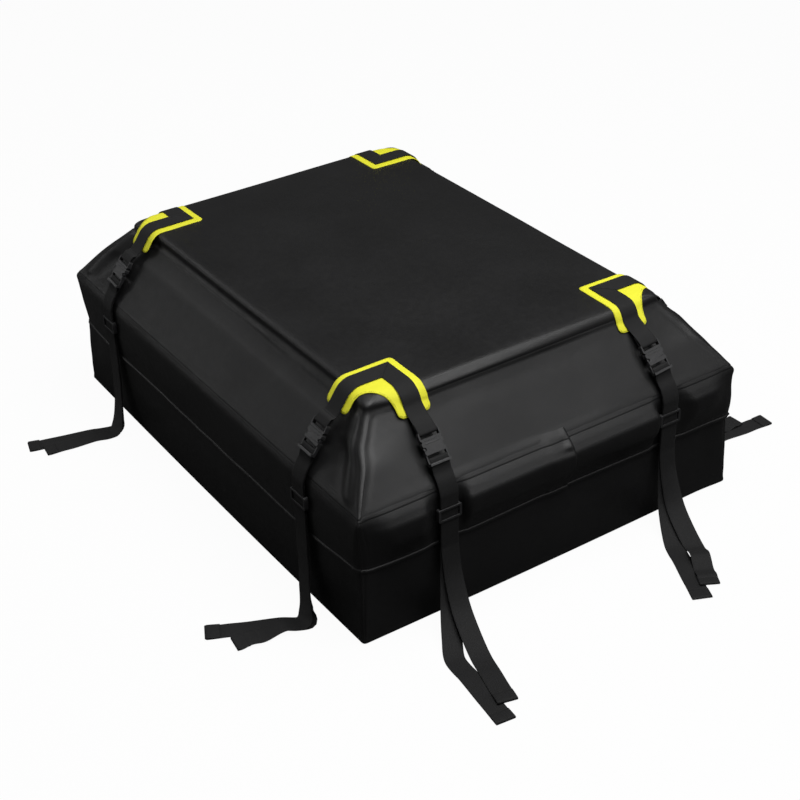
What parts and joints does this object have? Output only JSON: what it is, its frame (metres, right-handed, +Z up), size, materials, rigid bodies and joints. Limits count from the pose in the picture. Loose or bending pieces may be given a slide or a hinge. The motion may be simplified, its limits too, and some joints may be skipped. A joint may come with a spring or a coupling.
{
  "type": "roof cargo bag",
  "caption": "Soft rooftop luggage bag with sloping sides, a storm flap over its zip, buckled tie-down straps and bright corner patches.",
  "frame": {"origin": "middle of the flat base, on the surface that the bag lies on", "axes": "+Z up, +X along the short front side, +Y along the long sides from front to back"},
  "size_m": [1.3419, 1.7472, 0.422],
  "materials": {
    "coated_cloth": "satin coated polyester",
    "flap_cloth": "satin coated polyester",
    "reflective": "bright woven tape",
    "webbing": "ribbed polypropylene webbing",
    "acetal": "fine moulded grain",
    "zip_coil": "nylon coil",
    "zinc_slider": "dark lacquer"
  },
  "bodies": {
    "bag": {"base_tub": "coated_cloth", "lid_shell": "coated_cloth", "storm_flap": "flap_cloth", "zip_chain": "zip_coil", "back_strip": "coated_cloth", "corner_patch_front_left": "reflective", "corner_patch_front_right": "reflective", "corner_patch_back_right": "reflective", "corner_patch_back_left": "reflective", "corner_webbing_front_left": "webbing", "corner_webbing_front_right": "webbing", "corner_webbing_back_right": "webbing", "corner_webbing_back_left": "webbing", "plug_front_left": "acetal", "plug_front_right": "acetal", "plug_right_front": "acetal", "plug_right_back": "acetal", "plug_back_right": "acetal", "plug_back_left": "acetal", "plug_left_back": "acetal", "plug_left_front": "acetal"},
    "tie_front_left": {"socket_front_left": "acetal", "strap_front_left": "webbing"},
    "glide_front_left": {"tri_glide_front_left": "acetal"},
    "tie_front_right": {"socket_front_right": "acetal", "strap_front_right": "webbing"},
    "glide_front_right": {"tri_glide_front_right": "acetal"},
    "tie_right_front": {"socket_right_front": "acetal", "strap_right_front": "webbing"},
    "glide_right_front": {"tri_glide_right_front": "acetal"},
    "tie_right_back": {"socket_right_back": "acetal", "strap_right_back": "webbing"},
    "glide_right_back": {"tri_glide_right_back": "acetal"},
    "tie_back_right": {"socket_back_right": "acetal", "strap_back_right": "webbing"},
    "glide_back_right": {"tri_glide_back_right": "acetal"},
    "tie_back_left": {"socket_back_left": "acetal", "strap_back_left": "webbing"},
    "glide_back_left": {"tri_glide_back_left": "acetal"},
    "tie_left_back": {"socket_left_back": "acetal", "strap_left_back": "webbing"},
    "glide_left_back": {"tri_glide_left_back": "acetal"},
    "tie_left_front": {"socket_left_front": "acetal", "strap_left_front": "webbing"},
    "glide_left_front": {"tri_glide_left_front": "acetal"},
    "slider_left": {"zip_slider_left": "zinc_slider"},
    "pull_left": {"zip_pull_left": "zinc_slider"},
    "slider_right": {"zip_slider_right": "zinc_slider"},
    "pull_right": {"zip_pull_right": "zinc_slider"}
  },
  "joints": [
    {"name": "buckle_release_front_left", "type": "slide", "parent": "bag", "child": "tie_front_left", "axis": [0, -0.6446, -0.7645], "range_m": [0, 0.03], "deforming": ["plug_front_left"]},
    {"name": "glide_slide_front_left", "type": "slide", "parent": "tie_front_left", "child": "glide_front_left", "axis": [0, 0, -1], "range_m": [-0.01, 0.04]},
    {"name": "buckle_release_front_right", "type": "slide", "parent": "bag", "child": "tie_front_right", "axis": [0.0746, -0.6428, -0.7624], "range_m": [0, 0.03], "deforming": ["plug_front_right"]},
    {"name": "glide_slide_front_right", "type": "slide", "parent": "tie_front_right", "child": "glide_front_right", "axis": [0, 0, -1], "range_m": [-0.01, 0.04]},
    {"name": "buckle_release_right_front", "type": "slide", "parent": "bag", "child": "tie_right_front", "axis": [0.5756, 0, -0.8178], "range_m": [0, 0.03], "deforming": ["plug_right_front"]},
    {"name": "glide_slide_right_front", "type": "slide", "parent": "tie_right_front", "child": "glide_right_front", "axis": [0, 0, -1], "range_m": [-0.01, 0.04]},
    {"name": "buckle_release_right_back", "type": "slide", "parent": "bag", "child": "tie_right_back", "axis": [0.5756, 0, -0.8178], "range_m": [0, 0.03], "deforming": ["plug_right_back"]},
    {"name": "glide_slide_right_back", "type": "slide", "parent": "tie_right_back", "child": "glide_right_back", "axis": [0, 0, -1], "range_m": [-0.01, 0.04]},
    {"name": "buckle_release_back_right", "type": "slide", "parent": "bag", "child": "tie_back_right", "axis": [0, 0.6446, -0.7645], "range_m": [0, 0.03], "deforming": ["plug_back_right"]},
    {"name": "glide_slide_back_right", "type": "slide", "parent": "tie_back_right", "child": "glide_back_right", "axis": [0, 0, -1], "range_m": [-0.01, 0.04]},
    {"name": "buckle_release_back_left", "type": "slide", "parent": "bag", "child": "tie_back_left", "axis": [0, 0.6446, -0.7645], "range_m": [0, 0.03], "deforming": ["plug_back_left"]},
    {"name": "glide_slide_back_left", "type": "slide", "parent": "tie_back_left", "child": "glide_back_left", "axis": [0, 0, -1], "range_m": [-0.01, 0.04]},
    {"name": "buckle_release_left_back", "type": "slide", "parent": "bag", "child": "tie_left_back", "axis": [-0.575, 0.0456, -0.8169], "range_m": [0, 0.03], "deforming": ["plug_left_back"]},
    {"name": "glide_slide_left_back", "type": "slide", "parent": "tie_left_back", "child": "glide_left_back", "axis": [0, 0, -1], "range_m": [-0.01, 0.04]},
    {"name": "buckle_release_left_front", "type": "slide", "parent": "bag", "child": "tie_left_front", "axis": [-0.5756, 0, -0.8178], "range_m": [0, 0.03], "deforming": ["plug_left_front"]},
    {"name": "glide_slide_left_front", "type": "slide", "parent": "tie_left_front", "child": "glide_left_front", "axis": [0, 0, -1], "range_m": [-0.01, 0.04]},
    {"name": "zip_travel_left", "type": "slide", "parent": "bag", "child": "slider_left", "axis": [-1, 0, 0], "range_m": [0, 0.34]},
    {"name": "pull_swing_left", "type": "hinge", "parent": "slider_left", "child": "pull_left", "pos_m": [-0.0068, -0.56535, 0.219], "axis": [-1, 0, 0], "range_deg": [0, 14]},
    {"name": "zip_travel_right", "type": "slide", "parent": "bag", "child": "slider_right", "axis": [1, 0, 0], "range_m": [0, 0.34]},
    {"name": "pull_swing_right", "type": "hinge", "parent": "slider_right", "child": "pull_right", "pos_m": [0.0068, -0.56535, 0.219], "axis": [-1, 0, 0], "range_deg": [0, 14]}
  ]
}
